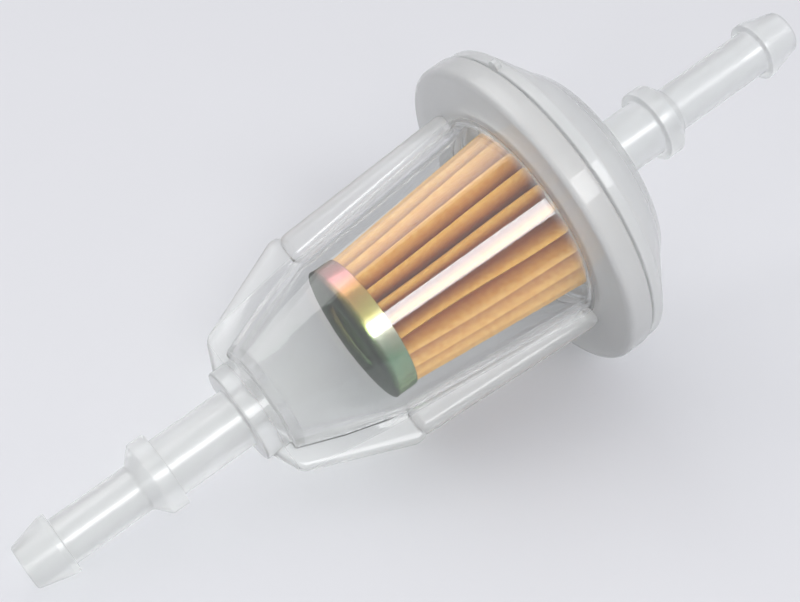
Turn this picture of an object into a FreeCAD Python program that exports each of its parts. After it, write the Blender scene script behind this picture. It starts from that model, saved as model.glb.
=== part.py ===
import FreeCAD, Part
import math
import os
import Sketcher

# In-line fuel filter for a small engine. Two welded plastic shells hold a pleated paper element.
#
# Every piece is drawn in one shared set of axes. X runs along the filter, from the tip of the inlet
# nozzle at zero to the tip of the outlet nozzle, and Z lies in the plane of the two fins. One and the
# same placement is then given to every piece. It rolls the filter about its axis and lays it on a
# table, on the rim of its flange and the barb at the inlet tip, with the outlet end raised.

SHEET = "Sizes"
PARTS_FOLDER = "parts"

SIZES = {
    # hose nozzles, the same steps at both ends
    "bore_radius": 2.1,
    "tip_radius": 3.0,
    "tip_barb_radius": 4.2,
    "tip_barb_length": 5.4,
    "tip_barb_land": 0.8,
    "tube_radius": 3.2,
    "inlet_tube_length": 11.2,
    "outlet_tube_length": 14.9,
    "ramp_length": 1.7,
    "collar_radius": 5.15,
    "collar_length": 2.3,
    "stem_radius": 4.0,
    "inlet_stem_length": 10.9,
    "outlet_stem_length": 10.1,
    # inlet housing, outside
    "root_radius": 6.5,
    "root_length": 3.5,
    "cone_small_radius": 7.5,
    "cone_middle_radius": 9.7,
    "cone_middle_length": 6.0,
    "cone_large_radius": 11.9,
    "cone_length": 13.3,
    "barrel_low_radius": 13.0,
    "barrel_low_length": 7.0,
    "barrel_length": 28.0,
    "barrel_radius": 14.9,
    "flange_radius": 22.6,
    "flange_thickness": 3.6,
    "flange_round": 0.8,
    "barrel_root_round": 0.6,
    # inlet housing, inside
    "mouth_radius": 16.1,
    "mouth_depth": 2.4,
    "wall": 1.1,
    "well_floor_radius": 6.3,
    "well_length": 11.4,
    "throat_length": 3.0,
    # fins on the cone and the thicker wings that carry on from them to the flange
    "fin_thickness": 2.0,
    "fin_setback": 0.4,
    "fin_foot_radius": 5.6,
    "fin_nose_length": 2.5,
    "fin_nose_radius": 10.3,
    "fin_corner_radius": 16.2,
    "fin_end_length": 1.2,
    "wing_thickness": 3.4,
    "wing_low_radius": 15.7,
    "wing_high_radius": 17.4,
    "wing_sink": 0.5,
    # outlet cover
    "seam_gap": 0.3,
    "cover_radius": 22.4,
    "cover_rim": 1.5,
    "cover_bevel_radius": 16.2,
    "cover_bevel_length": 6.4,
    "cover_top_radius": 14.6,
    "cover_height": 8.4,
    "cover_round": 2.4,
    "cover_neck_round": 1.2,
    "tongue_radius": 15.9,
    "tongue_wall": 1.5,
    "tongue_length": 1.4,
    "ledge_width": 1.0,
    "ledge_height": 1.7,
    "recess_height": 3.2,
    "spigot_radius": 4.2,
    "spigot_length": 1.2,
    "nub_radius": 0.9,
    "nub_length": 0.9,
    "nub_circle": 22.3,
    # weld between the two flanges
    "weld_inner_radius": 17.0,
    "weld_outer_radius": 21.6,
    # filter element
    "cap_lift": 0.4,
    "cap_radius": 9.6,
    "cap_height": 3.6,
    "cap_thickness": 0.4,
    "cap_round": 0.7,
    "cap_glue": 1.1,
    "boss_radius": 4.8,
    "boss_height": 0.6,
    "paper_length": 29.8,
    "paper_thickness": 0.35,
    "paper_radius": 9.0,
    "paper_bore": 4.5,
    "paper_growth": 1.34,
    "crest_share": 0.24,
    "trough_share": 0.44,
    "seam_glue_share": 0.3,
    "ring_radius": 14.3,
    "ring_hole_radius": 4.3,
    "ring_thickness": 1.2,
    "ring_glue_radius": 12.8,
}

PLEATS = 24
FIN_ROLL_DEG = -60.0
NUB_TURN_DEG = 138.0


class Size:
    """A length, with the spreadsheet expression that gives it."""

    def __init__(self, value, text):
        self.value = value
        self.text = text

    def __add__(self, other):
        return Size(self.value + other.value, f"({self.text} + {other.text})")

    def __sub__(self, other):
        return Size(self.value - other.value, f"({self.text} - {other.text})")

    def __mul__(self, factor):
        return Size(self.value * factor, f"({self.text} * {factor})")


def size(name):
    return Size(SIZES[name], f"{SHEET}.{name} * 1 mm")


ZERO = Size(0.0, "0 mm")

doc = FreeCAD.newDocument("FuelFilter")
sheet = doc.addObject("Spreadsheet::Sheet", SHEET)
for row, (name, value) in enumerate(SIZES.items(), start=1):
    sheet.set(f"A{row}", name)
    sheet.set(f"B{row}", str(value))
    sheet.setAlias(f"B{row}", name)
doc.recompute()

# Stations along the axis, in order from the inlet tip.
inlet_tip = ZERO
inlet_barb_back = size("tip_barb_length")
inlet_tube_end = inlet_barb_back + size("inlet_tube_length")
inlet_ramp_end = inlet_tube_end + size("ramp_length")
inlet_collar_end = inlet_ramp_end + size("collar_length")
root_start = inlet_collar_end + size("inlet_stem_length")
cone_start = root_start + size("root_length")
cone_end = cone_start + size("cone_length")
well_floor = cone_end - size("well_length")
throat = well_floor - size("throat_length")
barrel_low = cone_end + size("barrel_low_length")
flange_front = cone_end + size("barrel_length")
seam = flange_front + size("flange_thickness")
mouth_step = seam - size("mouth_depth")
cover_base = seam + size("seam_gap")
cover_top = seam + size("cover_height")
outlet_collar_start = cover_top + size("outlet_stem_length")
outlet_ramp_start = outlet_collar_start + size("collar_length")
outlet_tube_start = outlet_ramp_start + size("ramp_length")
outlet_barb_back = outlet_tube_start + size("outlet_tube_length")
outlet_tip = outlet_barb_back + size("tip_barb_length")
tongue_end = seam - size("tongue_length")
ledge = seam + size("ledge_height")
recess_roof = ledge + size("recess_height")
cap_bottom = cone_end + size("cap_lift")
cap_floor = cap_bottom + size("cap_thickness")
cap_rim = cap_bottom + size("cap_height")
paper_start = cap_floor + size("cap_glue")
paper_end = paper_start + size("paper_length")
ring_front = ledge - size("ring_thickness")


def new_body(name):
    body = doc.addObject("PartDesign::Body", name)
    body.Label = name
    return body


def origin_plane(body, role):
    for feature in body.Origin.OriginFeatures:
        if feature.Role == role:
            return feature
    raise RuntimeError(f"{body.Label} has no {role}")


def new_sketch(body, name, role):
    sketch = body.newObject("Sketcher::SketchObject", name)
    sketch.AttachmentSupport = [(origin_plane(body, role), "")]
    sketch.MapMode = "FlatFace"
    return sketch


def place_point(sketch, line, point):
    """Fixes the start of a line at its (along, out) place."""
    along, out = point
    for kind, axis_line, length in (("DistanceX", -2, along), ("DistanceY", -1, out)):
        if length.value == 0:
            sketch.addConstraint(Sketcher.Constraint("PointOnObject", line, 1, axis_line))
        else:
            number = sketch.addConstraint(Sketcher.Constraint(kind, -1, 1, line, 1, length.value))
            sketch.setExpression(f"Constraints[{number}]", length.text)


def outline_sketch(body, name, points):
    """A closed outline of straight lines in the XZ plane, through (along, out) pairs of sizes."""
    sketch = new_sketch(body, name, "XZ_Plane")
    count = len(points)
    corners = [FreeCAD.Vector(along.value, out.value, 0) for along, out in points]
    for i in range(count):
        sketch.addGeometry(Part.LineSegment(corners[i], corners[(i + 1) % count]), False)
    for i in range(count):
        sketch.addConstraint(Sketcher.Constraint("Coincident", i, 2, (i + 1) % count, 1))
    for i in range(count):
        place_point(sketch, i, points[i])
    return sketch


def revolve(body, name, points):
    """The outline turned once round the X axis."""
    sketch = outline_sketch(body, f"{name}_outline", points)
    turned = body.newObject("PartDesign::Revolution", name)
    turned.Profile = sketch
    turned.ReferenceAxis = (sketch, ["H_Axis"])
    turned.Angle = 360
    doc.recompute()


def round_rim(body, name, radius, along, out):
    """Rounds the circular edge at one (along, out) place."""
    base = body.Tip
    match = 0.01
    found = []
    for number, edge in enumerate(base.Shape.Edges, start=1):
        if not isinstance(edge.Curve, Part.Circle):
            continue
        centre = edge.Curve.Center
        on_axis = math.hypot(centre.y, centre.z) < match
        if on_axis and abs(centre.x - along.value) < match and abs(edge.Curve.Radius - out.value) < match:
            found.append(f"Edge{number}")
    if not found:
        raise RuntimeError(f"{name} found no edge to round")
    fillet = body.newObject("PartDesign::Fillet", name)
    fillet.Base = (base, found)
    fillet.Radius = radius.value
    fillet.setExpression("Radius", radius.text)
    doc.recompute()


def nozzle(tip, barb_back, tube_end, ramp_end, collar_end, way):
    """Half outline of a stepped hose nozzle from its bore to its stem. Way is 1 inlet, -1 outlet."""
    land_start = barb_back - size("tip_barb_land") * way
    return [
        (tip, size("bore_radius")),
        (tip, size("tip_radius")),
        (land_start, size("tip_barb_radius")),
        (barb_back, size("tip_barb_radius")),
        (barb_back, size("tube_radius")),
        (tube_end, size("tube_radius")),
        (ramp_end, size("collar_radius")),
        (collar_end, size("collar_radius")),
        (collar_end, size("stem_radius")),
    ]


def add_opposite_pair(body, name, points, thickness):
    """A flat web in the fin plane and its twin on the other side of the axis."""
    sketch = outline_sketch(body, f"{name}_outline", points)
    web = body.newObject("PartDesign::Pad", name)
    web.Profile = sketch
    web.SideType = "Symmetric"
    web.Length = thickness.value
    web.setExpression("Length", thickness.text)
    doc.recompute()
    pair = body.newObject("PartDesign::PolarPattern", f"{name}_pair")
    pair.Originals = [web]
    pair.Axis = (sketch, ["H_Axis"])
    pair.Angle = 360
    pair.Occurrences = 2
    body.Tip = pair
    doc.recompute()


def make_inlet_housing():
    """Clear shell: inlet nozzle, cone with two fins, barrel with two wings, lower half of the flange."""
    body = new_body("inlet_housing")
    outline = nozzle(inlet_tip, inlet_barb_back, inlet_tube_end, inlet_ramp_end, inlet_collar_end, 1)
    outline += [
        (root_start, size("stem_radius")),
        (root_start, size("root_radius")),
        (cone_start, size("root_radius")),
        (cone_start, size("cone_small_radius")),
        (cone_start + size("cone_middle_length"), size("cone_middle_radius")),
        (cone_end, size("cone_large_radius")),
        (barrel_low, size("barrel_low_radius")),
        (flange_front, size("barrel_radius")),
        (flange_front, size("flange_radius")),
        (seam, size("flange_radius")),
        (seam, size("mouth_radius")),
        (mouth_step, size("mouth_radius")),
        (mouth_step, size("barrel_radius") - size("wall")),
        (barrel_low, size("barrel_low_radius") - size("wall")),
        (cone_end, size("cone_large_radius") - size("wall")),
        (well_floor, size("well_floor_radius")),
        (throat, size("bore_radius")),
    ]
    revolve(body, "housing_shell", outline)
    round_rim(body, "flange_edge", size("flange_round"), flange_front, size("flange_radius"))
    round_rim(body, "barrel_root", size("barrel_root_round"), flange_front, size("barrel_radius"))
    fin_end = cone_end + size("fin_end_length")
    cone_skin = size("cone_large_radius") - size("wing_sink")
    fin = [
        (root_start + size("fin_setback"), size("fin_foot_radius")),
        (root_start + size("fin_nose_length"), size("fin_nose_radius")),
        (cone_end, size("fin_corner_radius")),
        (fin_end, size("wing_low_radius")),
        (fin_end, cone_skin),
        (cone_end, cone_skin),
        (cone_start, size("fin_foot_radius")),
    ]
    add_opposite_pair(body, "fin", fin, size("fin_thickness"))
    wing = [
        (cone_end + size("fin_setback"), size("wing_low_radius")),
        (flange_front + size("fin_setback"), size("wing_high_radius")),
        (flange_front + size("fin_setback"), size("barrel_radius") - size("wing_sink")),
        (barrel_low, size("barrel_low_radius") - size("wing_sink")),
        (cone_end + size("fin_setback"), cone_skin),
    ]
    add_opposite_pair(body, "wing", wing, size("wing_thickness"))
    return body


def make_outlet_cover():
    """Frosted cover: upper half of the flange, seat for the element, spigot and outlet nozzle."""
    body = new_body("outlet_cover")
    outline = nozzle(
        outlet_tip, outlet_barb_back, outlet_tube_start, outlet_ramp_start, outlet_collar_start, -1
    )
    tongue_inner = size("tongue_radius") - size("tongue_wall")
    recess_radius = tongue_inner - size("ledge_width")
    spigot_end = seam - size("spigot_length")
    outline += [
        (cover_top, size("stem_radius")),
        (cover_top, size("cover_top_radius")),
        (cover_base + size("cover_bevel_length"), size("cover_bevel_radius")),
        (cover_base + size("cover_rim"), size("cover_radius")),
        (cover_base, size("cover_radius")),
        (cover_base, size("tongue_radius")),
        (tongue_end, size("tongue_radius")),
        (tongue_end, tongue_inner),
        (ledge, tongue_inner),
        (ledge, recess_radius),
        (recess_roof, recess_radius),
        (recess_roof, size("spigot_radius")),
        (spigot_end, size("spigot_radius")),
        (spigot_end, size("bore_radius")),
    ]
    revolve(body, "cover_shell", outline)
    round_rim(body, "cover_shoulder", size("cover_round"), cover_top, size("cover_top_radius"))
    round_rim(body, "cover_neck", size("cover_neck_round"), cover_top, size("stem_radius"))
    add_gate_nub(body)
    return body


def add_gate_nub(body):
    """Stub left by the moulding gate on the rim of the cover."""
    sketch = new_sketch(body, "gate_nub_outline", "YZ_Plane")
    turn = math.radians(NUB_TURN_DEG)
    reach = SIZES["nub_circle"]
    centre = FreeCAD.Vector(reach * math.cos(turn), reach * math.sin(turn), 0)
    circle = sketch.addGeometry(Part.Circle(centre, FreeCAD.Vector(0, 0, 1), SIZES["nub_radius"]), False)
    radius = sketch.addConstraint(Sketcher.Constraint("Radius", circle, SIZES["nub_radius"]))
    sketch.setExpression(f"Constraints[{radius}]", size("nub_radius").text)
    for kind, distance, function in (("DistanceX", centre.x, "cos"), ("DistanceY", centre.y, "sin")):
        number = sketch.addConstraint(Sketcher.Constraint(kind, -1, 1, circle, 3, distance))
        reach_text = size("nub_circle").text
        sketch.setExpression(f"Constraints[{number}]", f"{reach_text} * {function}({NUB_TURN_DEG} deg)")
    sketch.AttachmentOffset = FreeCAD.Placement(
        FreeCAD.Vector(0, 0, cover_base.value), FreeCAD.Rotation()
    )
    sketch.setExpression("AttachmentOffset.Base.z", cover_base.text)
    nub = body.newObject("PartDesign::Pad", "gate_nub")
    nub.Profile = sketch
    nub.Length = SIZES["nub_length"]
    nub.setExpression("Length", size("nub_length").text)
    doc.recompute()


def make_ring(name, start, end, inner, outer):
    """A plain ring or disc between two stations."""
    body = new_body(name)
    revolve(body, f"{name}_turn", [(start, inner), (start, outer), (end, outer), (end, inner)])
    return body


def make_end_cap():
    """Pressed steel cup that closes the inlet end of the paper, with a round boss pushed inward."""
    body = new_body("metal_end_cap")
    inner = size("cap_radius") - size("cap_thickness")
    boss_under = cap_bottom + size("boss_height")
    boss_top = cap_floor + size("boss_height")
    half_wall = size("cap_thickness") * 0.5
    outline = [
        (boss_under, ZERO),
        (boss_under, size("boss_radius") - half_wall),
        (cap_bottom, size("boss_radius") + half_wall),
        (cap_bottom, size("cap_radius")),
        (cap_rim, size("cap_radius")),
        (cap_rim, inner),
        (cap_floor, inner),
        (cap_floor, size("boss_radius") + size("cap_thickness")),
        (boss_top, size("boss_radius")),
        (boss_top, ZERO),
    ]
    revolve(body, "cup", outline)
    round_rim(body, "cup_edge", size("cap_round"), cap_bottom, size("cap_radius"))
    return body


def make_cap_adhesive():
    """Adhesive that fills the cup under the paper."""
    body = new_body("end_cap_adhesive")
    inner = size("cap_radius") - size("cap_thickness")
    boss_top = cap_floor + size("boss_height")
    outline = [
        (boss_top, ZERO),
        (boss_top, size("boss_radius")),
        (cap_floor, size("boss_radius") + size("cap_thickness")),
        (cap_floor, inner),
        (paper_start, inner),
        (paper_start, ZERO),
    ]
    revolve(body, "cap_glue_disc", outline)
    return body


def pleat_middle(radius, bore):
    """Corners of the folded sheet's middle line, four to a pleat, flat at each fold."""
    pitch = 2 * math.pi / PLEATS
    half_crest = pitch * float(sheet.crest_share) / 2
    half_trough = pitch * float(sheet.trough_share) / 2
    corners = []
    for pleat in range(PLEATS):
        crest = pleat * pitch
        trough = crest + pitch / 2
        for reach, angle in (
            (radius, crest - half_crest),
            (radius, crest + half_crest),
            (bore, trough - half_trough),
            (bore, trough + half_trough),
        ):
            corners.append((reach * math.cos(angle), reach * math.sin(angle)))
    return corners


def offset_outline(corners, distance):
    """The closed outline moved sideways by a distance, outward when it is positive."""
    moved = []
    count = len(corners)
    for i in range(count):
        normals = []
        for first, second in ((corners[i - 1], corners[i]), (corners[i], corners[(i + 1) % count])):
            run = (second[0] - first[0], second[1] - first[1])
            length = math.hypot(run[0], run[1])
            normals.append((run[1] / length, -run[0] / length))
        (ax, ay), (bx, by) = normals
        scale = distance / (1 + ax * bx + ay * by)
        moved.append((corners[i][0] + (ax + bx) * scale, corners[i][1] + (ay + by) * scale))
    return moved


def at_station(corners, station):
    return [FreeCAD.Vector(station, y, z) for y, z in corners]


def closed_wire(points):
    return Part.makePolygon(points + points[:1])


def side_faces(low, high):
    """Flat faces between two outlines whose matching edges are parallel."""
    faces = []
    count = len(low)
    for i in range(count):
        j = (i + 1) % count
        faces.append(Part.Face(closed_wire([low[i], low[j], high[j], high[i]])))
    return faces


def solid_of(faces):
    """The closed solid inside a set of faces that meet edge to edge."""
    shell = Part.makeShell(faces)
    shell.sewShape()
    solid = Part.makeSolid(shell)
    if solid.Volume < 0:
        solid.reverse()
    return solid


def add_shape(name, shape):
    feature = doc.addObject("Part::Feature", name)
    feature.Label = name
    feature.Shape = shape
    return feature


def make_paper():
    """Pleated paper sleeve that widens toward the outlet. Both ends have the same fold shape."""
    growth = float(sheet.paper_growth)
    half = float(sheet.paper_thickness) / 2
    low_middle = pleat_middle(float(sheet.paper_radius), float(sheet.paper_bore))
    high_middle = [(y * growth, z * growth) for y, z in low_middle]
    walls = {}
    for side, distance in (("outer", half), ("inner", -half)):
        low = at_station(offset_outline(low_middle, distance), paper_start.value)
        high = at_station(offset_outline(high_middle, distance), paper_end.value)
        walls[side] = (low, high)
    faces = side_faces(*walls["outer"]) + side_faces(*walls["inner"])
    for end in (0, 1):
        rims = [closed_wire(walls["outer"][end]), closed_wire(walls["inner"][end])]
        faces.append(Part.makeFace(rims, "Part::FaceMakerBullseye"))
    paper = add_shape("pleated_paper", solid_of(faces))
    return paper, walls["inner"]


def make_paper_seam(inner_walls):
    """Line of adhesive inside one fold, where the two ends of the paper strip are joined."""
    share = float(sheet.seam_glue_share)
    sections = []
    for wall in inner_walls:
        before, left, right, after = wall[-1], wall[0], wall[1], wall[2]
        sections.append([left + (before - left) * share, left, right, right + (after - right) * share])
    low, high = sections
    faces = side_faces(low, high)
    faces.append(Part.Face(closed_wire(low)))
    faces.append(Part.Face(closed_wire(high)))
    return add_shape("paper_seam_adhesive", solid_of(faces))


def rest_placement():
    """Rolls the filter about its axis, then tilts it on to the flange rim and the inlet barb."""
    flange_round = SIZES["flange_round"]
    flange_at = flange_front.value + flange_round
    flange_out = SIZES["flange_radius"] - flange_round
    run = flange_at - (inlet_barb_back.value - SIZES["tip_barb_land"])
    rise = flange_out - SIZES["tip_barb_radius"]
    tilt = math.atan2(rise, run) + math.asin(flange_round / math.hypot(run, rise))
    shift_x = -outlet_tip.value * math.cos(tilt) / 2
    shift_z = flange_round + flange_out * math.cos(tilt) - flange_at * math.sin(tilt)
    roll = FreeCAD.Rotation(FreeCAD.Vector(1, 0, 0), FIN_ROLL_DEG)
    lean = FreeCAD.Rotation(FreeCAD.Vector(0, 1, 0), -math.degrees(tilt))
    return FreeCAD.Placement(FreeCAD.Vector(shift_x, 0, shift_z), lean.multiply(roll))


hole = size("ring_hole_radius")
paper, paper_inner_walls = make_paper()
pieces = [
    make_inlet_housing(),
    make_outlet_cover(),
    make_ring("weld_bead", seam, cover_base, size("weld_inner_radius"), size("weld_outer_radius")),
    make_end_cap(),
    make_cap_adhesive(),
    paper,
    make_paper_seam(paper_inner_walls),
    make_ring("outlet_end_adhesive", paper_end, ring_front, hole, size("ring_glue_radius")),
    make_ring("outlet_end_ring", ring_front, ledge, hole, size("ring_radius")),
]
placement = rest_placement()
for piece in pieces:
    piece.Placement = placement
doc.recompute()

for item in doc.Objects:
    if "Invalid" in item.State or "Error" in item.State:
        raise RuntimeError(f"{item.Name} did not compute")
for piece in pieces:
    if piece.Shape.isNull() or not piece.Shape.isValid():
        raise RuntimeError(f"{piece.Label} is not a valid shape")
os.makedirs(PARTS_FOLDER, exist_ok=True)
for piece in pieces:
    piece.Shape.exportStep(os.path.join(PARTS_FOLDER, f"{piece.Label}.step"))
    print(piece.Label, "volume", round(piece.Shape.Volume, 1), "mm3")
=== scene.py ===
import math

import bmesh
import bpy
from mathutils import Matrix, Vector, noise


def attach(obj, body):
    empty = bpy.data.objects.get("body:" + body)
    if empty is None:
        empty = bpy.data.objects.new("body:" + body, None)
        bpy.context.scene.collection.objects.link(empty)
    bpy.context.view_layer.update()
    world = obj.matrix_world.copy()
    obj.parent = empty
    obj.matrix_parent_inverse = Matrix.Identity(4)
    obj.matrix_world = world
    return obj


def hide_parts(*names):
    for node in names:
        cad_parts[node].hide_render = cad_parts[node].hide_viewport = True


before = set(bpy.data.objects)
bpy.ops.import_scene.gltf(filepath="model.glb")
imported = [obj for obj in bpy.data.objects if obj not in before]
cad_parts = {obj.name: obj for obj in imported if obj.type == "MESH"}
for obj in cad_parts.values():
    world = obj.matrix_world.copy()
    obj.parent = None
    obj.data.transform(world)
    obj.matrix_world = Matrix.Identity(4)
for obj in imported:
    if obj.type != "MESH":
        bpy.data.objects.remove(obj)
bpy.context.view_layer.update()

# The filter's own axes: X along it in millimetres from the inlet tip, fins in the XZ plane.
# TO_WORLD lays it in the frame, in metres, on its flange and its inlet barb.
TILT = math.radians(14.2594853)
FIN_ROLL = math.radians(-60)
INLET_TIP_AT = Vector((-0.05945982, 0, 0.00293756))
AXIS = Vector((math.cos(TILT), 0, math.sin(TILT)))
TO_WORLD = (
    Matrix.Translation(INLET_TIP_AT)
    @ Matrix.Rotation(-TILT, 4, "Y")
    @ Matrix.Rotation(FIN_ROLL, 4, "X")
    @ Matrix.Scale(0.001, 4)
)

# Stations along the filter
ROOT_START = 31.5
CONE_START = 35.0
BARREL_START = 49.0
FLANGE_FRONT = 76.3
WELD_FRONT = 79.9
WELD_BACK = 80.2
COVER_TOP = 88.3
LENGTH = 122.7

# Radii
BORE_RADIUS = 2.1
TUBE_RADIUS = 3.2
STEM_RADIUS = 4.0
BARB_RADIUS = 4.2
COLLAR_RADIUS = 5.15
BARREL_END_RADIUS = 14.9
BARREL_TAPER = 3.0 / 28
MOUTH_RADIUS = 16.1
FLANGE_RADIUS = 22.58
COVER_RADIUS = 22.3

# Lengths
BARB_LENGTH = 5.4
BARB_LAND = 0.8
RAMP_LENGTH = 1.7
COLLAR_LENGTH = 2.3
FIN_THICKNESS = 2.0
WING_THICKNESS = 3.4
CLEARANCE = 0.02

SHARP_ANGLE = math.radians(32)


def rounded(points, steps=5):
    """The closed outline (along, out, round) with each corner turned into a short curve."""
    path = []
    count = len(points)
    for i in range(count):
        here = Vector(points[i][:2])
        to_last = Vector(points[i - 1][:2]) - here
        to_next = Vector(points[(i + 1) % count][:2]) - here
        radius = points[i][2]
        if radius == 0:
            path.append(here)
            continue
        half = to_last.angle(to_next) / 2
        reach = min(radius / math.tan(half), 0.45 * to_last.length, 0.45 * to_next.length)
        start = here + to_last.normalized() * reach
        end = here + to_next.normalized() * reach
        for step in range(steps + 1):
            t = step / steps
            path.append((1 - t) ** 2 * start + 2 * t * (1 - t) * here + t**2 * end)
    return path


def mesh_object(name, verts, faces, sharp=SHARP_ANGLE):
    """A smooth mesh whose points are given in the filter's own axes."""
    mesh = bpy.data.meshes.new(name)
    mesh.from_pydata([TO_WORLD @ Vector(v) for v in verts], [], faces)
    mesh.validate()
    mesh.shade_smooth()
    mesh.set_sharp_from_angle(angle=sharp)
    obj = bpy.data.objects.new(name, mesh)
    bpy.context.collection.objects.link(obj)
    return obj


def lathe(name, points, segments=192, wobble=0.0):
    """Turns the rounded outline round the filter's axis. Points on the axis close a disc."""
    path = rounded(points)
    verts, faces, rings = [], [], []
    for along, out in path:
        if out < 0.001:
            rings.append([len(verts)] * segments)
            verts.append((along, 0, 0))
            continue
        ring = []
        for k in range(segments):
            turn = 2 * math.pi * k / segments
            bulge = wobble * noise.noise(Vector((math.cos(turn) * 4, math.sin(turn) * 4, out)))
            ring.append(len(verts))
            verts.append((along, (out + bulge) * math.cos(turn), (out + bulge) * math.sin(turn)))
        rings.append(ring)
    for i in range(len(rings)):
        a, b = rings[i], rings[(i + 1) % len(rings)]
        for k in range(segments):
            n = (k + 1) % segments
            corners = list(dict.fromkeys((a[k], a[n], b[n], b[k])))
            if len(corners) > 2:
                faces.append(corners)
    obj = mesh_object(name, verts, faces)
    face_outward(obj)
    return obj


def face_outward(obj):
    """Turns every face of a closed mesh outward."""
    bm = bmesh.new()
    bm.from_mesh(obj.data)
    bmesh.ops.recalc_face_normals(bm, faces=bm.faces)
    if bm.calc_volume(signed=True) < 0:
        bmesh.ops.reverse_faces(bm, faces=bm.faces)
    bm.to_mesh(obj.data)
    bm.free()


def web(name, outline, thickness, side, edge):
    """A flat plate in the fin plane, on one side of the axis, with softened edges."""
    half = thickness / 2
    count = len(outline)
    verts = [(s, y, side * r) for y in (-half, half) for s, r in outline]
    faces = [list(range(count)), list(range(2 * count - 1, count - 1, -1))]
    for i in range(count):
        j = (i + 1) % count
        faces.append([i, j, count + j, count + i])
    obj = mesh_object(name, verts, faces)
    face_outward(obj)
    bevel = obj.modifiers.new("edge", "BEVEL")
    bevel.width = edge / 1000
    bevel.segments = 5
    apply_modifiers(obj)
    return obj


def apply_modifiers(obj):
    graph = bpy.context.evaluated_depsgraph_get()
    mesh = bpy.data.meshes.new_from_object(obj.evaluated_get(graph))
    obj.modifiers.clear()
    obj.data = mesh


def join_into(obj, others):
    """Unites solids into one skin, so that clear plastic has no walls inside it."""
    for other in others:
        union = obj.modifiers.new("union", "BOOLEAN")
        union.operation = "UNION"
        union.solver = "EXACT"
        union.object = other
        apply_modifiers(obj)
        bpy.data.objects.remove(other)
    obj.data.shade_smooth()
    obj.data.set_sharp_from_angle(angle=SHARP_ANGLE)


# Pieces. An outline's points are (along, out, round), and a plate's are (along, out).
def nozzle(tip, way, tube_end):
    """Outline of a stepped hose nozzle, from its bore at the tip to the end of its collar."""
    barb_back = tip + BARB_LENGTH * way
    ramp_end = tube_end + RAMP_LENGTH * way
    collar_end = ramp_end + COLLAR_LENGTH * way
    return [
        (tip, BORE_RADIUS, 0.35),
        (tip, 3.0, 0.35),
        (barb_back - BARB_LAND * way, BARB_RADIUS, 0.3),
        (barb_back, BARB_RADIUS, 0.15),
        (barb_back, TUBE_RADIUS, 0.25),
        (tube_end, TUBE_RADIUS, 0.8),
        (ramp_end, COLLAR_RADIUS, 0.5),
        (collar_end, COLLAR_RADIUS, 0.2),
        (collar_end, STEM_RADIUS, 0.3),
    ]


def make_housing():
    """Clear inlet housing with two fins on its cone and two wings on its barrel."""
    flange_back = WELD_FRONT - CLEARANCE
    obj = lathe("housing", nozzle(0, 1, 16.6) + [
        (ROOT_START, STEM_RADIUS, 0.3),
        (ROOT_START, 6.5, 0.35),
        (CONE_START, 6.5, 0.25),
        (CONE_START, 7.5, 0.4),
        (41.0, 9.75, 6.0),
        (BARREL_START, 12.1, 6.0),
        (FLANGE_FRONT, BARREL_END_RADIUS, 0.6),
        (FLANGE_FRONT, FLANGE_RADIUS, 1.0),
        (flange_back, FLANGE_RADIUS, 0.4),
        (flange_back, MOUTH_RADIUS, 0.2),
        (77.5, MOUTH_RADIUS, 0.2),
        (77.5, 13.8, 0.3),
        (BARREL_START, 11.0, 6.0),
        (36.9, 6.3, 0.8),
        (33.9, BORE_RADIUS, 0.8),
    ])
    fin = [(31.9, 5.6), (34.0, 10.3), (48.1, 16.1), (49.5, 15.75), (49.5, 11.5), (48.3, 11.4), (35.0, 5.6)]
    wing = [(48.7, 15.65), (76.7, 17.35), (76.7, 14.4), (62.0, 12.9), (48.7, 11.5)]
    fins = [web("fin", fin, FIN_THICKNESS, side, 0.8) for side in (1, -1)]
    wings = [web("wing", wing, WING_THICKNESS, side, 1.3) for side in (1, -1)]
    join_into(obj, fins + wings)
    return obj


def make_gate_stub():
    """A small peg that the moulding gate left along the cover's rim."""
    sides = 20
    at = math.radians(138)
    rings = [(WELD_BACK + 0.04, 0.9), (80.9, 0.9), (81.1, 0.6)]
    verts, faces = [], []
    for along, out in rings:
        for k in range(sides):
            turn = 2 * math.pi * k / sides
            y = COVER_RADIUS * math.cos(at) + out * math.cos(turn)
            z = COVER_RADIUS * math.sin(at) + out * math.sin(turn)
            verts.append((along, y, z))
    for i in range(len(rings) - 1):
        for k in range(sides):
            n = (k + 1) % sides
            a, b = i * sides, (i + 1) * sides
            faces.append([a + k, a + n, b + n, b + k])
    last = len(verts) - 1
    faces += [list(range(sides)), list(range(last, last - sides, -1))]
    obj = mesh_object("stub", verts, faces)
    face_outward(obj)
    return obj


def make_cover():
    """Frosted outlet cover: rim, bevel, nozzle, and inside it the seat of the element."""
    base = WELD_BACK + CLEARANCE
    obj = lathe("cover", nozzle(LENGTH, -1, 102.4) + [
        (COVER_TOP, STEM_RADIUS, 1.2),
        (COVER_TOP, 14.6, 2.2),
        (86.6, 16.2, 2.0),
        (81.7, COVER_RADIUS, 0.5),
        (base, COVER_RADIUS, 0.3),
        (base, 15.9, 0.2),
        (78.5, 15.9, 0.3),
        (78.5, 14.4, 0.3),
        (81.62, 14.4, 0.1),
        (81.62, 13.4, 0.2),
        (84.8, 13.4, 0.5),
        (84.8, 4.2, 0.5),
        (78.7, 4.2, 0.3),
        (78.7, BORE_RADIUS, 0.3),
    ])
    join_into(obj, [make_gate_stub()])
    return obj


def make_bead():
    """Melted plastic in the joint, with a slightly wavy edge."""
    front, back = WELD_FRONT + CLEARANCE / 2, WELD_BACK - CLEARANCE / 2
    outline = [(front, 17.0, 0.05), (front, 21.45, 0.1), (back, 21.45, 0.1), (back, 17.0, 0.05)]
    return lathe("bead", outline, wobble=0.12)


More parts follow.
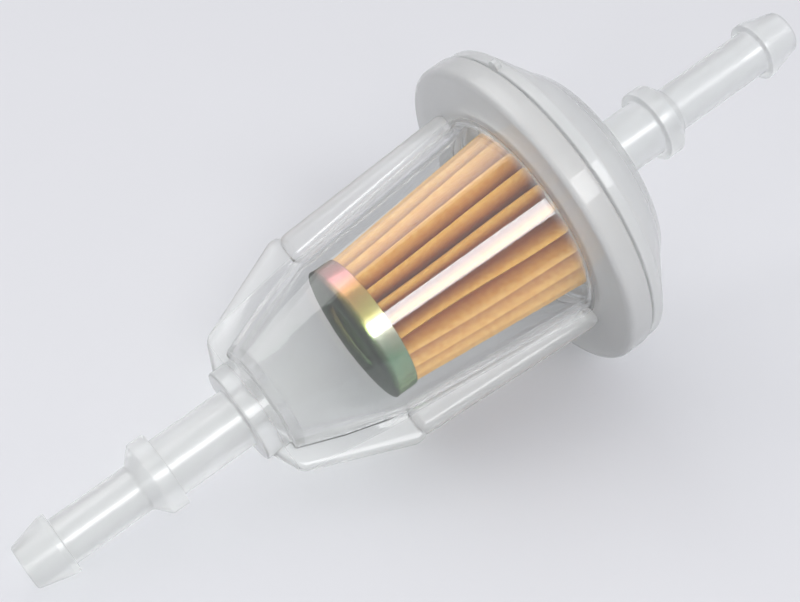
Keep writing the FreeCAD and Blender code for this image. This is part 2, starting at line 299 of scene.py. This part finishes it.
def make_cap():
    """Pressed cup over the inlet end of the paper, with a round boss pushed inward."""
    return lathe("end_cap", [
        (49.3, 0, 0), (49.3, 4.6, 0.3), (48.7, 5.0, 0.3), (48.7, 9.6, 0.7), (52.3, 9.6, 0.12),
        (52.3, 9.25, 0.12), (49.1, 9.25, 0.3), (49.1, 5.2, 0.2), (49.7, 4.8, 0.2), (49.7, 0, 0),
    ])


def make_cap_glue():
    """Adhesive that fills the cup under the paper."""
    return lathe("cap_glue", [
        (49.72, 0, 0), (49.72, 4.8, 0), (49.12, 5.25, 0), (49.12, 9.18, 0),
        (50.35, 9.18, 0.1), (50.15, 8.9, 0.1), (50.15, 0, 0),
    ])


def make_ring_glue():
    """Adhesive between the paper and its end ring, with a slightly wavy edge."""
    outline = [(80.0, 4.4, 0.1), (80.0, 12.5, 0.15), (80.38, 12.75, 0.05), (80.38, 4.4, 0)]
    return lathe("ring_glue", outline, wobble=0.1)


def make_ring():
    """Flat ring that ends the element at the outlet."""
    outline = [(80.42, 4.35, 0.1), (80.42, 14.28, 0.3), (81.58, 14.28, 0.3), (81.58, 4.35, 0.1)]
    return lathe("end_ring", outline)


PAPER_START, PAPER_END = 50.22, 79.98
PLEATS = 24
POINTS_PER_PLEAT = 24
PAPER_ROWS = 25
CREST_RADIUS = 8.95
PLEAT_DEPTH = 4.4
PAPER_GROWTH = 0.34
PAPER_THICKNESS = 0.3
FOLD_SHARPNESS = 0.97
CREST_UNEVENNESS = 0.2
CREST_LEAN = 0.05


def fold_depth(wave):
    """From 0 on a crest to 1 in a trough, along straight legs with small round folds."""
    turnover = math.asin(FOLD_SHARPNESS * math.cos(math.pi * wave)) / math.asin(FOLD_SHARPNESS)
    soft = 0.5 - 0.5 * math.sin(turnover * math.pi / 2)
    return 0.55 * wave + 0.45 * soft


def make_paper():
    """Folded paper sleeve, wider at the outlet, whose folds lean a little unevenly."""
    count = PLEATS * POINTS_PER_PLEAT
    verts, faces, folds = [], [], []
    for row in range(PAPER_ROWS):
        t = row / (PAPER_ROWS - 1)
        along = PAPER_START + (PAPER_END - PAPER_START) * t
        grow = 1 + PAPER_GROWTH * t
        for k in range(count):
            phase = k / POINTS_PER_PLEAT
            nearest = math.floor(phase + 0.5)
            pleat = nearest % PLEATS
            fold = fold_depth(abs(2 * (phase - nearest)))
            uneven = CREST_UNEVENNESS * noise.noise(Vector((pleat * 3.7, t * 1.5, 0.2)))
            reach = (CREST_RADIUS - PLEAT_DEPTH * fold) * grow + uneven * (1 - fold) * t
            lean = CREST_LEAN * noise.noise(Vector((pleat * 2.3, t * 1.4, 5.1)))
            turn = 2 * math.pi * phase / PLEATS + lean * (1 - fold)
            verts.append((along, reach * math.cos(turn), reach * math.sin(turn)))
            folds.append(fold)
    for row in range(PAPER_ROWS - 1):
        a, b = row * count, (row + 1) * count
        for k in range(count):
            n = (k + 1) % count
            faces.append([a + k, a + n, b + n, b + k])
    obj = mesh_object("pleats", verts, faces, sharp=math.radians(80))
    obj.data.attributes.new("fold", "FLOAT", "POINT").data.foreach_set("value", folds)
    thick = obj.modifiers.new("paper", "SOLIDIFY")
    thick.thickness = PAPER_THICKNESS / 1000
    thick.offset = 0
    apply_modifiers(obj)
    return obj


housing = make_housing()
cover = make_cover()
bead = make_bead()
cap = make_cap()
cap_glue = make_cap_glue()
ring_glue = make_ring_glue()
ring = make_ring()
paper = make_paper()


# Materials
def new_material(name):
    mat = bpy.data.materials.new(name)
    mat.use_nodes = True
    nodes = mat.node_tree.nodes
    return mat, nodes, mat.node_tree.links, nodes["Principled BSDF"]


def along_filter(nodes, links):
    """Distance along the filter from its inlet tip, as a share of its length."""
    place = nodes.new("ShaderNodeTexCoord")
    dot = nodes.new("ShaderNodeVectorMath")
    dot.operation = "DOT_PRODUCT"
    dot.inputs[1].default_value = AXIS / (LENGTH / 1000)
    links.new(place.outputs["Object"], dot.inputs[0])
    shift = nodes.new("ShaderNodeMath")
    shift.operation = "SUBTRACT"
    shift.inputs[1].default_value = INLET_TIP_AT.dot(AXIS) / (LENGTH / 1000)
    links.new(dot.outputs["Value"], shift.inputs[0])
    return place, shift.outputs[0]


def ramp_of(nodes, links, source, stops):
    """A colour ramp over the source. A stop's value is a colour or a grey."""
    ramp = nodes.new("ShaderNodeValToRGB")
    while len(ramp.color_ramp.elements) < len(stops):
        ramp.color_ramp.elements.new(0.5)
    for element, (position, colour) in zip(ramp.color_ramp.elements, stops):
        element.position = position
        element.color = (*colour, 1) if isinstance(colour, tuple) else (colour, colour, colour, 1)
    links.new(source, ramp.inputs[0])
    return ramp.outputs[0]


def noise_of(nodes, links, place, scale, detail=3):
    tex = nodes.new("ShaderNodeTexNoise")
    tex.inputs["Scale"].default_value = scale
    tex.inputs["Detail"].default_value = detail
    links.new(place.outputs["Object"], tex.inputs["Vector"])
    return tex.outputs["Fac"]


def bump_of(nodes, links, height, strength, distance):
    bump = nodes.new("ShaderNodeBump")
    bump.inputs["Strength"].default_value = strength
    bump.inputs["Distance"].default_value = distance
    links.new(height, bump.inputs["Height"])
    return bump.outputs[0]


def product_of(nodes, links, first, second):
    """One colour times another."""
    mix = nodes.new("ShaderNodeMix")
    mix.data_type = "RGBA"
    mix.blend_type = "MULTIPLY"
    mix.inputs["Factor"].default_value = 1.0
    links.new(first, mix.inputs["A"])
    links.new(second, mix.inputs["B"])
    return mix.outputs["Result"]


def out_of_barrel(nodes, links, place, station):
    """Height over the barrel's tapered outside, in metres."""
    from_tip = nodes.new("ShaderNodeVectorMath")
    from_tip.operation = "SUBTRACT"
    from_tip.inputs[1].default_value = INLET_TIP_AT
    links.new(place.outputs["Object"], from_tip.inputs[0])
    across = nodes.new("ShaderNodeVectorMath")
    across.operation = "CROSS_PRODUCT"
    across.inputs[1].default_value = AXIS
    links.new(from_tip.outputs[0], across.inputs[0])
    out = nodes.new("ShaderNodeVectorMath")
    out.operation = "LENGTH"
    links.new(across.outputs[0], out.inputs[0])
    taper = nodes.new("ShaderNodeMath")
    taper.operation = "MULTIPLY_ADD"
    taper.inputs[1].default_value = BARREL_TAPER * LENGTH / 1000
    taper.inputs[2].default_value = (BARREL_END_RADIUS - BARREL_TAPER * FLANGE_FRONT) / 1000
    links.new(station, taper.inputs[0])
    height = nodes.new("ShaderNodeMath")
    height.operation = "SUBTRACT"
    links.new(out.outputs["Value"], height.inputs[0])
    links.new(taper.outputs[0], height.inputs[1])
    return height.outputs[0]


# Heights over the barrel, in metres, between which its clear plastic turns milky
MILKY_FROM, MILKY_BY = 0.0002, 0.0010
MILKY_CLEARNESS = 0.84
MILKY_ROUGHNESS = 0.33


def changed_outside(nodes, links, value, out, operation, change):
    """The value as it is on the barrel, and changed on the fins and wings that stand out from it."""
    share = nodes.new("ShaderNodeMapRange")
    share.inputs["From Min"].default_value = MILKY_FROM
    share.inputs["From Max"].default_value = MILKY_BY
    share.inputs["To Min"].default_value = 1.0 if operation == "MULTIPLY" else 0.0
    share.inputs["To Max"].default_value = change
    links.new(out, share.inputs["Value"])
    result = nodes.new("ShaderNodeMath")
    result.operation = operation
    links.new(value, result.inputs[0])
    links.new(share.outputs[0], result.inputs[1])
    return result.outputs[0]


def clear_plastic(name, tint, clear_stops, rough_stops, shade):
    """Moulded plastic that is clear or milky by its place.

    It throws hardly any shadow: the light that passes through it is only tinted by shade.
    """
    mat, nodes, links, shader = new_material(name)
    place, station = along_filter(nodes, links)
    shader.inputs["Base Color"].default_value = (*tint, 1)
    shader.inputs["IOR"].default_value = 1.5
    shader.inputs["Coat Weight"].default_value = 0.6
    shader.inputs["Coat Roughness"].default_value = 0.03
    out = out_of_barrel(nodes, links, place, station)
    clear = ramp_of(nodes, links, station, clear_stops)
    clear = changed_outside(nodes, links, clear, out, "MULTIPLY", MILKY_CLEARNESS)
    links.new(clear, shader.inputs["Transmission Weight"])
    rough = ramp_of(nodes, links, station, rough_stops)
    rough = changed_outside(nodes, links, rough, out, "ADD", MILKY_ROUGHNESS)
    links.new(rough, shader.inputs["Roughness"])
    ripple = noise_of(nodes, links, place, 260)
    links.new(bump_of(nodes, links, ripple, 0.05, 0.0002), shader.inputs["Normal"])
    path = nodes.new("ShaderNodeLightPath")
    through = nodes.new("ShaderNodeBsdfTransparent")
    through.inputs[0].default_value = (*shade, 1)
    mix = nodes.new("ShaderNodeMixShader")
    links.new(path.outputs["Is Shadow Ray"], mix.inputs[0])
    links.new(shader.outputs[0], mix.inputs[1])
    links.new(through.outputs[0], mix.inputs[2])
    links.new(mix.outputs[0], nodes["Material Output"].inputs[0])
    return mat


def dull_material(name, dark, light, rough, scale, grain=0.3, depth=0.0002):
    """An opaque surface with a fine, uneven colour."""
    mat, nodes, links, shader = new_material(name)
    place = nodes.new("ShaderNodeTexCoord")
    spread = noise_of(nodes, links, place, scale, 5)
    links.new(ramp_of(nodes, links, spread, [(0.3, dark), (0.7, light)]), shader.inputs["Base Color"])
    fine = noise_of(nodes, links, place, scale * 4)
    links.new(bump_of(nodes, links, fine, grain, depth), shader.inputs["Normal"])
    shader.inputs["Roughness"].default_value = rough
    return mat


def paper_material():
    """Resin-treated paper with painted shade, darker and redder toward the bottom of each fold."""
    mat = dull_material("Filter paper", (0.84, 0.43, 0.08), (0.94, 0.58, 0.15), 0.75, 1400, 0.35, 0.0001)
    nodes, links = mat.node_tree.nodes, mat.node_tree.links
    colour = nodes["Principled BSDF"].inputs["Base Color"]
    fold = nodes.new("ShaderNodeAttribute")
    fold.attribute_name = "fold"
    # Painted shade: darker and redder toward the bottom of each fold
    depth = ramp_of(nodes, links, fold.outputs["Fac"], [(0.0, (1.0, 1.0, 1.0)), (0.5, (0.55, 0.3, 0.18))])
    links.new(product_of(nodes, links, colour.links[0].from_socket, depth), colour)
    return mat


# The film's colours and a painted highlight run across the metal cap, over its width in metres, and start
# at FILM_START
ACROSS = (TO_WORLD.to_3x3() @ Vector((0, 0.122, -0.9925))).normalized()
CAP_WIDTH = 0.0192
FILM_START = 0.27
FILM_DRIFT = 0.3
FILM_COLOURS_AND_HIGHLIGHT = [
    (0.05, (0.84, 0.34, 0.33)),
    (0.22, (0.95, 0.55, 0.20)),
    (0.40, (0.95, 0.86, 0.30)),
    # Painted highlight: this near-white stop stands where the rim catches the light
    (0.55, (0.88, 0.90, 0.72)),
    (0.72, (0.24, 0.44, 0.26)),
    (0.90, (0.66, 0.86, 0.48)),
]
# Painted dark reflection: darker on the cap's face and greener on its boss, by the share of the filter's
# length
CAP_FACE_PAINTED_REFLECTION = [(0.3978, (0.07, 0.10, 0.08)), (0.4018, (0.14, 0.23, 0.10)), (0.405, (1.0, 1.0, 1.0))]


def zinc_material():
    """Yellow chromate film over zinc: its colour drifts round the rim from rose to green, past a painted
    highlight.
    """
    mat, nodes, links, shader = new_material("Yellow zinc")
    place = nodes.new("ShaderNodeTexCoord")
    across = nodes.new("ShaderNodeVectorMath")
    across.operation = "DOT_PRODUCT"
    across.inputs[1].default_value = ACROSS / CAP_WIDTH
    links.new(place.outputs["Object"], across.inputs[0])
    drift = nodes.new("ShaderNodeMath")
    drift.operation = "MULTIPLY_ADD"
    drift.inputs[1].default_value = FILM_DRIFT
    links.new(noise_of(nodes, links, place, 130, 4), drift.inputs[0])
    links.new(across.outputs["Value"], drift.inputs[2])
    shifted = nodes.new("ShaderNodeMath")
    shifted.operation = "ADD"
    shifted.inputs[1].default_value = FILM_START - INLET_TIP_AT.dot(ACROSS) / CAP_WIDTH
    links.new(drift.outputs[0], shifted.inputs[0])
    # The film's colours, with a painted highlight in its near-white band
    film = ramp_of(nodes, links, shifted.outputs[0], FILM_COLOURS_AND_HIGHLIGHT)
    station = along_filter(nodes, links)[1]
    # Painted dark reflection on the cap's face and its boss
    face = ramp_of(nodes, links, station, CAP_FACE_PAINTED_REFLECTION)
    links.new(product_of(nodes, links, film, face), shader.inputs["Base Color"])
    scratches = noise_of(nodes, links, place, 700)
    links.new(bump_of(nodes, links, scratches, 0.15, 0.0001), shader.inputs["Normal"])
    shader.inputs["Metallic"].default_value = 1.0
    shader.inputs["Specular Tint"].default_value = (0.1, 0.2, 0.1, 1)
    shader.inputs["Roughness"].default_value = 0.22
    return mat


def show(obj, material, node):
    """Gives a piece its material, hangs it on the root body and hides the CAD node it stands for."""
    obj.data.materials.clear()
    obj.data.materials.append(material)
    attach(obj, "root")
    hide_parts(node)


# The stops of clearness and roughness are at shares of the filter's length
housing_mat = clear_plastic(
    "Clear plastic", (0.86, 0.868, 0.866),
    [(0.0, 0.74), (0.25, 0.76), (0.3, 0.84), (0.38, 0.97), (0.615, 0.97), (0.63, 0.66)],
    [(0.0, 0.34), (0.25, 0.34), (0.32, 0.16), (0.38, 0.02), (0.615, 0.02), (0.63, 0.16)],
    (0.9, 0.91, 0.9),
)
cover_mat = clear_plastic(
    "Frosted plastic", (0.9, 0.91, 0.91),
    [(0.63, 0.62), (0.72, 0.64), (0.8, 0.76), (1.0, 0.76)],
    [(0.63, 0.2), (0.72, 0.24), (0.8, 0.34), (1.0, 0.34)],
    (0.8, 0.81, 0.81),
)
bead_mat = dull_material("Remelted plastic", (0.7, 0.72, 0.72), (0.82, 0.84, 0.84), 0.35, 400)
glue_mat = dull_material("Cured adhesive", (0.66, 0.55, 0.34), (0.8, 0.7, 0.48), 0.3, 300)
ring_mat = dull_material("End ring plastic", (0.72, 0.74, 0.73), (0.84, 0.85, 0.84), 0.45, 250)

show(housing, housing_mat, "inlet_housing")
show(cover, cover_mat, "outlet_cover")
show(bead, bead_mat, "weld_bead")
show(cap, zinc_material(), "metal_end_cap")
show(cap_glue, glue_mat, "end_cap_adhesive")
show(paper, paper_material(), "pleated_paper")
show(ring_glue, glue_mat, "outlet_end_adhesive")
show(ring, ring_mat, "outlet_end_ring")
seam_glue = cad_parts["paper_seam_adhesive"]
seam_glue.data.materials.clear()
seam_glue.data.materials.append(glue_mat)

# Floor and light
FLOOR_SIZE = 6
WORLD_COLOUR = (0.97, 0.97, 1.0, 1)
WORLD_STRENGTH = 0.57
LIT_STATION = 0.065

bpy.ops.mesh.primitive_plane_add(size=FLOOR_SIZE)
floor = bpy.context.object
floor.name = "Floor"
floor_mat = dull_material("Floor", (0.75, 0.755, 0.785), (0.76, 0.765, 0.795), 0.6, 20, 0.02)
floor.data.materials.append(floor_mat)

scene = bpy.context.scene
scene.view_settings.view_transform = "Standard"
world = bpy.data.worlds.new("Studio")
world.use_nodes = True
background = world.node_tree.nodes["Background"]
background.inputs[0].default_value = WORLD_COLOUR
background.inputs[1].default_value = WORLD_STRENGTH
scene.world = world


def softbox(name, towards, distance, length, width, watts):
    """A rectangular lamp facing the filter, its length along the filter."""
    lamp = bpy.data.lights.new(name, "AREA")
    lamp.shape = "RECTANGLE"
    lamp.size = length
    lamp.size_y = width
    lamp.energy = watts
    obj = bpy.data.objects.new(name, lamp)
    bpy.context.collection.objects.link(obj)
    back = Vector(towards).normalized()
    side = (AXIS - AXIS.dot(back) * back).normalized()
    turned = Matrix((side, back.cross(side), back)).transposed().to_4x4()
    obj.matrix_world = Matrix.Translation(INLET_TIP_AT + AXIS * LIT_STATION + back * distance) @ turned


softbox("key_softbox", (-0.058, -0.707, 0.714), distance=0.7, length=0.5, width=0.22, watts=2.1)
softbox("back_softbox", (-0.4, 0.9, 1.0), distance=1.0, length=1.0, width=0.8, watts=3.5)

# Camera. Its place is given by where it sees one point of the filter's axis, in metres.
AIM_STATION = 0.081
AIM_RIGHT, AIM_UP, AIM_DEPTH = 0.01910, 0.01340, 0.2233
CAMERA_ELEVATION = math.radians(44.1)
CAMERA_AZIMUTH = math.radians(-34.96)

camera_data = bpy.data.cameras.new("Camera")
camera_data.lens = 76.5
camera_data.sensor_width = 36
camera_data.clip_start = 0.01
camera = bpy.data.objects.new("Camera", camera_data)
bpy.context.collection.objects.link(camera)
camera.rotation_euler = (math.pi / 2 - CAMERA_ELEVATION, 0, CAMERA_AZIMUTH)
camera_turn = camera.rotation_euler.to_matrix()
aim_point = INLET_TIP_AT + AXIS * AIM_STATION
camera.location = aim_point - camera_turn @ Vector((AIM_RIGHT, AIM_UP, -AIM_DEPTH))
scene.camera = camera
